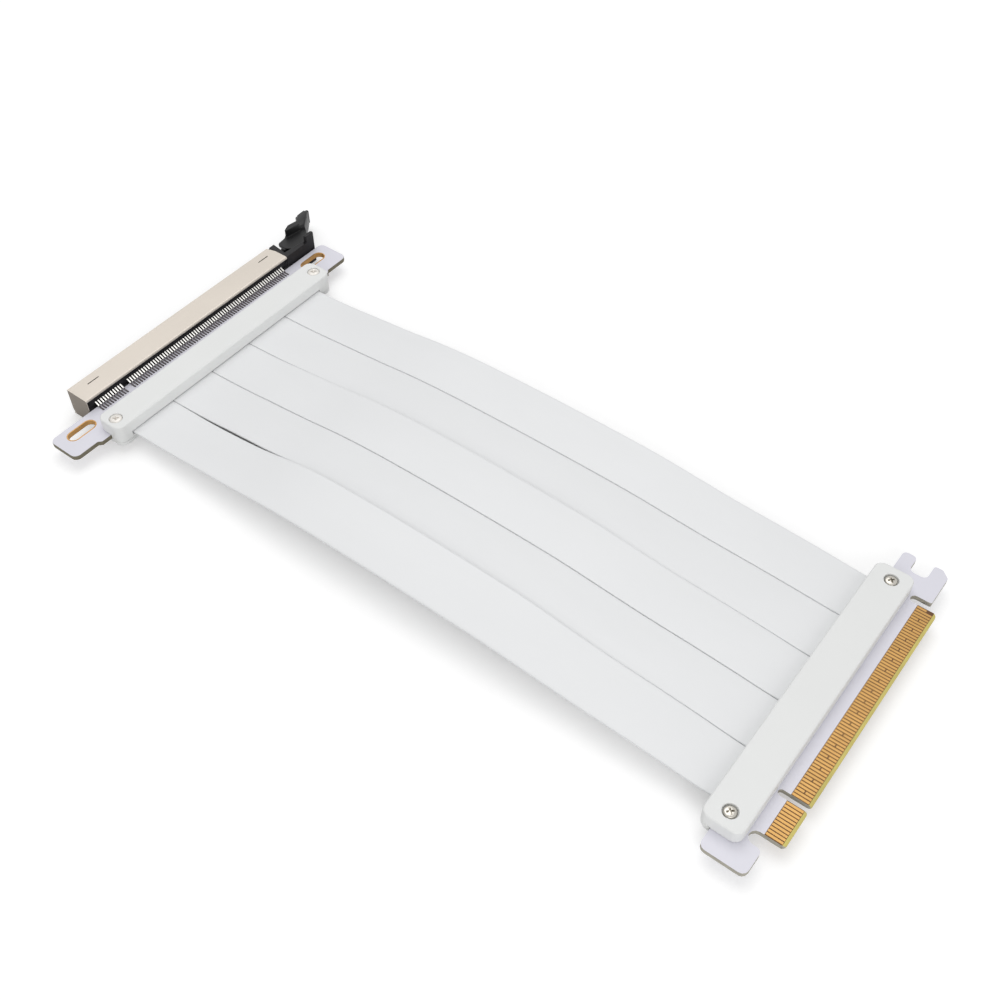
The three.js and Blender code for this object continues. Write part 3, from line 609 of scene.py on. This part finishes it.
class RISER_OT_screws(bpy.types.Operator):
    """Make the four cross-recessed screws that hold the covers together."""

    bl_idname = "riser.screws"
    bl_label = "Screws"

    def execute(self, context):
        sizes, colours = context.scene.riser_sizes, context.scene.riser_colours
        steel = finish("Plated screw", colours.screw, 0.24, metallic=0.9, mottle=0.05,
                       mottle_scale=500, grain=0.1, grain_scale=2500, roughness_swing=0.08)
        pale = finish("Pale plated screw", colours.pale_screw, 0.4, metallic=0.25, mottle=0.05,
                      mottle_scale=500, grain=0.1, grain_scale=2500)
        for node, spread, metal in (("plug_screw_near", 0.0, steel),
                                    ("plug_screw_far", 0.0, steel),
                                    ("socket_screw_near", HEAD_SPREAD, pale),
                                    ("socket_screw_far", HEAD_SPREAD, pale)):
            low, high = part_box(node)
            centre = Vector(((low.x + high.x) / 2, (low.y + high.y) / 2, high.z))
            radius = (high.x - low.x) / 2 / MM + spread
            foot = (low.z - high.z) / MM
            profile = [(CENTRE_R, foot), (SHANK_R * POINT_SHARE, foot),
                       (SHANK_R, foot + POINT_LENGTH), (SHANK_R, -HEAD_HEIGHT),
                       (radius * HEAD_UNDER, -HEAD_HEIGHT)]
            profile += [(max(CENTRE_R, radius * r), HEAD_HEIGHT * DOME_SHARE * (h - 1))
                        for r, h in reversed(HEAD_PROFILE)]
            screw = link(f"{node}_skin", turned(f"{node}_skin", profile, centre))
            cutter = cross_cutter(centre, sizes.screw_socket / MM)
            cut = screw.modifiers.new("Cross recess", "BOOLEAN")
            cut.object = cutter
            cut.solver = "EXACT"
            cut.use_self = True
            context.view_layer.update()
            graph = context.evaluated_depsgraph_get()
            mesh = bpy.data.meshes.new_from_object(screw.evaluated_get(graph))
            screw.modifiers.clear()
            screw.data = mesh
            bpy.data.objects.remove(cutter)
            mesh.materials.clear()
            mesh.materials.append(metal)
            smooth(mesh, SHARP)
            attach(screw, "riser")
            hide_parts(node)
        return {"FINISHED"}


# Card slot
# The fourth finish of the housing paints shadow and a dark reflection on the tails' feet.
PLASTIC, TIN, CONTACT, FOOT_PAINTED_SHADE = range(4)
# The second finish of the shell paints a dark reflection on its near end face.
SHELL, SHELL_END_PAINTED_REFLECTION = range(2)
FOOT_FROM = -236.55                # x where a tail's soldered foot starts
BODY_MID_Z = -0.8
REAR_X = -238.0                    # rear face of the housing, where the tails come out
MOUTH_X = -246.3
TAILS_Y = (-12.9, 75.5)
TAILS_Z = (0.82, 3.2)              # heights of the tails above and below the body's middle
BOWS_X = (MOUTH_X + 1.5, MOUTH_X + 5.2)
BOWS_Z = (0.78, 0.995)             # and of the sprung bows' faces
INSIDE_X = (MOUTH_X + 1, REAR_X - 0.5)   # inside the slot, where edges stay crisp
INSIDE_Z = 1.05
SHELL_END_Y = -13.4                # the shell's near end lies before this y


def housing_finish(c, normal):
    """Finish of a face of the card slot's housing, from its middle alone. The tails' feet get a
    dark colour, a painted shadow and dark reflection.
    """
    off_middle = abs(c.z - BODY_MID_Z)
    if c.x > REAR_X + 0.01 and off_middle > TAILS_Z[0] and TAILS_Y[0] < c.y < TAILS_Y[1]:
        return FOOT_PAINTED_SHADE if c.x > FOOT_FROM else TIN
    if BOWS_X[0] < c.x < BOWS_X[1] and BOWS_Z[0] < off_middle < BOWS_Z[1]:
        return CONTACT
    return PLASTIC


def on_contacts(p):
    """Whether a point lies on the tails or on the contacts inside the slot."""
    off_middle = abs(p.z - BODY_MID_Z)
    on_tails = p.x > REAR_X - 0.01 and TAILS_Z[0] < off_middle < TAILS_Z[1]
    inside = INSIDE_X[0] < p.x < INSIDE_X[1] and off_middle < INSIDE_Z
    return p.y < TAILS_Y[1] and (on_tails or inside)


def shell_finish(c, normal):
    """Finish of a face of the steel shell: its near end face, looking towards -Y, gets a darker
    colour, a painted dark reflection.
    """
    return SHELL_END_PAINTED_REFLECTION if normal.y < -0.7 and c.y < SHELL_END_Y else SHELL


class RISER_OT_slot(bpy.types.Operator):
    """Dress the card slot: black housing, solder tails and steel shell."""

    bl_idname = "riser.slot"
    bl_label = "Card slot"

    def execute(self, context):
        sizes, colours = context.scene.riser_sizes, context.scene.riser_colours
        plastic = finish("Black slot plastic", colours.housing, 0.46, mottle=0.12,
                         mottle_scale=200, grain=0.35, grain_scale=2800, specular=0.25)
        tin = finish("Tinned tail", colours.tin, 0.3, metallic=0.85, mottle=0.06, mottle_scale=700,
                     grain=0.1)
        # Dark colour for the tails' feet: a painted shadow and dark reflection.
        foot = finish("Tail foot, painted shadow and dark reflection", colours.foot, 0.45, metallic=0.4, mottle=0.15,
                      mottle_scale=900, grain=0.2, specular=0.3)
        contact = finish("Slot contact", colours.gold, 0.3, metallic=0.8, mottle=0.06,
                         mottle_scale=500)
        shell = finish("Nickel-plated shell", colours.shell, 0.45, metallic=0.55, mottle=0.03,
                       mottle_scale=24, mottle_stretch=(2, 1, 2), grain=0.14, grain_scale=1400,
                       grain_stretch=(1, 0.05, 1), roughness_swing=0.07)
        dress("slot_housing", "slot_housing_skin", "riser",
              [plastic, tin, contact, foot], sizes.housing_edge, housing_finish,
              crisp=on_contacts, cuts=[(place(FOOT_FROM, 0, 0), (1, 0, 0))])
        # Darker colour for the shell's near end face: a painted dark reflection.
        shell_end_painted_reflection = finish("Shell end, painted dark reflection", colours.shell_end_painted_reflection, 0.5, metallic=0.4, mottle=0.05,
                           mottle_scale=200, grain=0.14, grain_scale=1400)
        dress("slot_shield", "slot_shield_skin", "riser", [shell, shell_end_painted_reflection],
              sizes.shell_edge, shell_finish, clamp=True)
        return {"FINISHED"}


# Latch
# web between the latch's rib and its thumb pad: outline in mm from the pivot, and for each
# level its height and how far the outline is drawn in
LATCH_WEB = ((-6.3, 5.4), (-4.6, 5.6), (-3.6, 8.2), (-6.4, 12.4), (-8.4, 15.0), (-9.9, 14.6),
             (-9.9, 10.9), (-6.8, 7.0))
LATCH_WEB_LEVELS = ((-3.2, 0.25), (-3.0, 0.0), (2.2, 0.0), (2.7, 0.35), (2.9, 0.8))
PIVOT = (-243.2, 86.2)


def latch_web():
    """Thick web that joins the latch's rib to its pad."""
    middle_x, middle_y = (sum(values) / len(values) for values in zip(*LATCH_WEB))
    rings = []
    for z, inset in LATCH_WEB_LEVELS:
        ring = []
        for x, y in LATCH_WEB:
            out_x, out_y = x - middle_x, y - middle_y
            share = 1 - inset / math.hypot(out_x, out_y)
            ring.append(place(PIVOT[0] + middle_x + out_x * share,
                              PIVOT[1] + middle_y + out_y * share, z))
        rings.append(ring)
    mesh = loft("latch_web", rings)
    smooth(mesh, SHARP)
    return mesh


class RISER_OT_latch(bpy.types.Operator):
    """Dress the swinging latch that holds a card in the slot."""

    bl_idname = "riser.latch"
    bl_label = "Latch"

    def execute(self, context):
        sizes, colours = context.scene.riser_sizes, context.scene.riser_colours
        plastic = finish("Black latch plastic", colours.latch, 0.4, mottle=0.12, mottle_scale=200,
                         grain=0.3, grain_scale=2600, specular=0.3)
        dress("slot_latch", "slot_latch_skin", "latch", [plastic],
              sizes.latch_edge)
        web = link("latch_web", latch_web())
        web.data.materials.append(plastic)
        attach(web, "latch")
        return {"FINISHED"}


# Stage
CAMERA_AT = (33.5695, -158.7307, 276.2908)   # in the source's millimetres
CAMERA_RIGHT = (0.79706592, 0.60388604, -0.00274906)
CAMERA_UP = (-0.45241425, 0.60014208, 0.65965963)
CAMERA_BACK = (0.40000907, -0.5245485, 0.75155945)
KEY_AT, KEY_SIZE = (-0.25, 0.25, 0.95), 0.9  # metres
FILL_AT, FILL_SIZE = (0.55, -0.6, 0.4), 0.6
PAPER_TONES = (0.73, 0.75)         # darker and paler patches of the floor
PAPER_GLOW = 0.38                  # lifts the lit floor to white, seen directly
UNDER_FADE = 16 * MM               # the lift fades out this far in under the ribbons
FLOOR_BELOW = 0.02 * MM            # the floor lies this far under the part


def lamp(name, position, size, power):
    """Large square area lamp aimed at the part."""
    light = bpy.data.lights.new(name, "AREA")
    light.shape = "SQUARE"
    light.size = size
    light.energy = power
    holder = bpy.data.objects.new(name, light)
    bpy.context.scene.collection.objects.link(holder)
    holder.location = position
    holder.rotation_euler = (-Vector(position)).to_track_quat("-Z", "Y").to_euler()


def seen_directly(tree):
    """1 where a ray comes from the camera, a gloss or glass, and 0 elsewhere."""
    path = tree.nodes.new("ShaderNodeLightPath")
    total = path.outputs["Is Camera Ray"]
    for ray in ("Is Glossy Ray", "Is Transmission Ray"):
        total = maths(tree, "ADD", total, path.outputs[ray], clamp=True)
    return total


def outside(tree, coordinates, low, high):
    """0 in the middle of a box seen from above and 1 outside it, with a soft border inside."""
    split = tree.nodes.new("ShaderNodeSeparateXYZ")
    tree.links.new(coordinates, split.inputs[0])
    borders = []
    for axis in (0, 1):
        offset = maths(tree, "SUBTRACT", split.outputs[axis], (low[axis] + high[axis]) / 2)
        border = tree.nodes.new("ShaderNodeMapRange")
        border.interpolation_type = "SMOOTHSTEP"
        half = (high[axis] - low[axis]) / 2
        border.inputs["From Min"].default_value = half - UNDER_FADE
        border.inputs["From Max"].default_value = half
        tree.links.new(maths(tree, "ABSOLUTE", offset), border.inputs["Value"])
        borders.append(border.outputs["Result"])
    return maths(tree, "MAXIMUM", *borders)


def paper(low, high):
    """Matt white floor finish, lifted to white except under the box from low to high."""
    material = bpy.data.materials.new("White paper")
    tree, shader, coordinates = node_kit(material)
    shader.inputs["Roughness"].default_value = 0.9
    shader.inputs["Specular IOR Level"].default_value = 0.0
    tone = tree.nodes.new("ShaderNodeValToRGB")
    for stop, grey in zip(tone.color_ramp.elements, PAPER_TONES):
        stop.color = (grey, grey, grey, 1)
    tree.links.new(noise(tree, coordinates, 40), tone.inputs["Fac"])
    tree.links.new(tone.outputs["Color"], shader.inputs["Base Color"])
    shown = maths(tree, "MULTIPLY", seen_directly(tree), outside(tree, coordinates, low, high))
    lift = tree.nodes.new("ShaderNodeMapRange")
    lift.inputs["To Max"].default_value = PAPER_GLOW
    shader.inputs["Emission Color"].default_value = (1, 1, 1, 1)
    tree.links.new(shown, lift.inputs["Value"])
    tree.links.new(lift.outputs["Result"], shader.inputs["Emission Strength"])
    return material


class RISER_OT_stage(bpy.types.Operator):
    """Set up the camera, the white floor and the soft lamps."""

    bl_idname = "riser.stage"
    bl_label = "Studio"

    def execute(self, context):
        scene, studio = context.scene, context.scene.riser_studio
        scene.view_settings.view_transform = "Standard"

        camera = bpy.data.objects.new("Camera", bpy.data.cameras.new("Camera"))
        scene.collection.objects.link(camera)
        camera.data.sensor_width = 36
        camera.data.lens = studio.lens
        camera.data.clip_start = 0.01
        axes = Matrix((CAMERA_RIGHT, CAMERA_UP, CAMERA_BACK))
        camera.matrix_world = Matrix.Translation(place(*CAMERA_AT)) @ axes.transposed().to_4x4()
        scene.camera = camera

        world = bpy.data.worlds.new("Studio")
        scene.world = world
        world.use_nodes = True
        tree = world.node_tree
        background = tree.nodes["Background"]
        background.inputs["Color"].default_value = (1, 1, 1, 1)
        strength = tree.nodes.new("ShaderNodeMapRange")
        strength.inputs["To Min"].default_value = studio.sky
        strength.inputs["To Max"].default_value = 1.0
        tree.links.new(seen_directly(tree), strength.inputs["Value"])
        tree.links.new(strength.outputs["Result"], background.inputs["Strength"])

        half = studio.floor / 2
        mesh = bpy.data.meshes.new("floor")
        mesh.from_pydata([(-half, -half, 0), (half, -half, 0), (half, half, 0), (-half, half, 0)],
                         [], [(0, 1, 2, 3)])
        floor = link("floor", mesh)
        floor.location.z = -FLOOR_BELOW
        floor.data.materials.append(paper(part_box("ribbon_1")[0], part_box("ribbon_5")[1]))

        lamp("Key", KEY_AT, KEY_SIZE, studio.key)
        lamp("Fill", FILL_AT, FILL_SIZE, studio.fill)
        return {"FINISHED"}


# Panel and registration
BUILD_ORDER = ("stage", "ribbons", "covers", "boards", "screws", "slot", "latch")


class RISER_PT_panel(bpy.types.Panel):
    """The riser cable's sizes, colours and build steps."""

    bl_idname = "RISER_PT_panel"
    bl_label = "Riser cable"
    bl_space_type = "VIEW_3D"
    bl_region_type = "UI"
    bl_category = "Riser cable"

    def draw(self, context):
        for group in ("riser_sizes", "riser_colours", "riser_studio"):
            values = getattr(context.scene, group)
            column = self.layout.column()
            for key in values.bl_rna.properties.keys():
                if key not in ("rna_type", "name"):
                    column.prop(values, key)
        for step in BUILD_ORDER:
            self.layout.operator(f"riser.{step}")


CLASSES = (RiserSizes, RiserColours, RiserStudio, RISER_OT_stage, RISER_OT_ribbons,
           RISER_OT_covers, RISER_OT_boards, RISER_OT_screws, RISER_OT_slot, RISER_OT_latch,
           RISER_PT_panel)


def register():
    for item in CLASSES:
        bpy.utils.register_class(item)
    bpy.types.Scene.riser_sizes = PointerProperty(type=RiserSizes)
    bpy.types.Scene.riser_colours = PointerProperty(type=RiserColours)
    bpy.types.Scene.riser_studio = PointerProperty(type=RiserStudio)


def unregister():
    del bpy.types.Scene.riser_studio
    del bpy.types.Scene.riser_colours
    del bpy.types.Scene.riser_sizes
    for item in reversed(CLASSES):
        bpy.utils.unregister_class(item)


def main():
    register()
    for step in BUILD_ORDER:
        getattr(bpy.ops.riser, step)()


if __name__ == "__main__":
    main()
